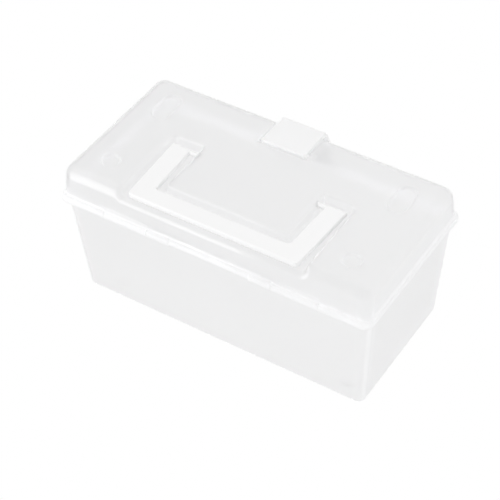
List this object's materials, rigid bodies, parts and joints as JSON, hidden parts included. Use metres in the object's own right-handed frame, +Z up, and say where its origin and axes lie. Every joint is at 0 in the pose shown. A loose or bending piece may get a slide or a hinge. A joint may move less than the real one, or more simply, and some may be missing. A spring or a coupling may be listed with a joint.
{
  "type": "art supply box",
  "caption": "Clear rectangular storage box with a hinged domed lid, a fold-flat carrying handle set into the lid and a swinging latch; recesses in the lid take another box's feet.",
  "frame": {"origin": "middle of the four feet, on the plane they stand on", "axes": "+X along the length, +Y towards the latch side (the hinge is at -Y), +Z up"},
  "size_m": [0.25, 0.128, 0.1169],
  "materials": {
    "clear_tub": "clear moulded polypropylene, faint haze",
    "clear_lid": "clear moulded polypropylene, faint haze",
    "white_handle": "white moulded polypropylene, satin",
    "white_latch": "thin white moulded polypropylene, satin, slightly translucent"
  },
  "bodies": {
    "tub": {"tub": "clear_tub"},
    "lid": {"lid": "clear_lid"},
    "handle": {"handle": "white_handle"},
    "latch": {"latch": "white_latch"}
  },
  "joints": [
    {"name": "lid_hinge", "type": "hinge", "parent": "tub", "child": "lid", "pos_m": [0, -0.06015, 0.08855], "axis": [1, 0, 0], "range_deg": [0, 110]},
    {"name": "handle_pivot", "type": "hinge", "parent": "lid", "child": "handle", "pos_m": [0, 0, 0.1128], "axis": [-1, 0, 0], "range_deg": [0, 120]},
    {"name": "latch_pivot", "type": "hinge", "parent": "lid", "child": "latch", "pos_m": [0, 0.0362, 0.1142], "axis": [1, 0, 0], "range_deg": [0, 100]}
  ]
}
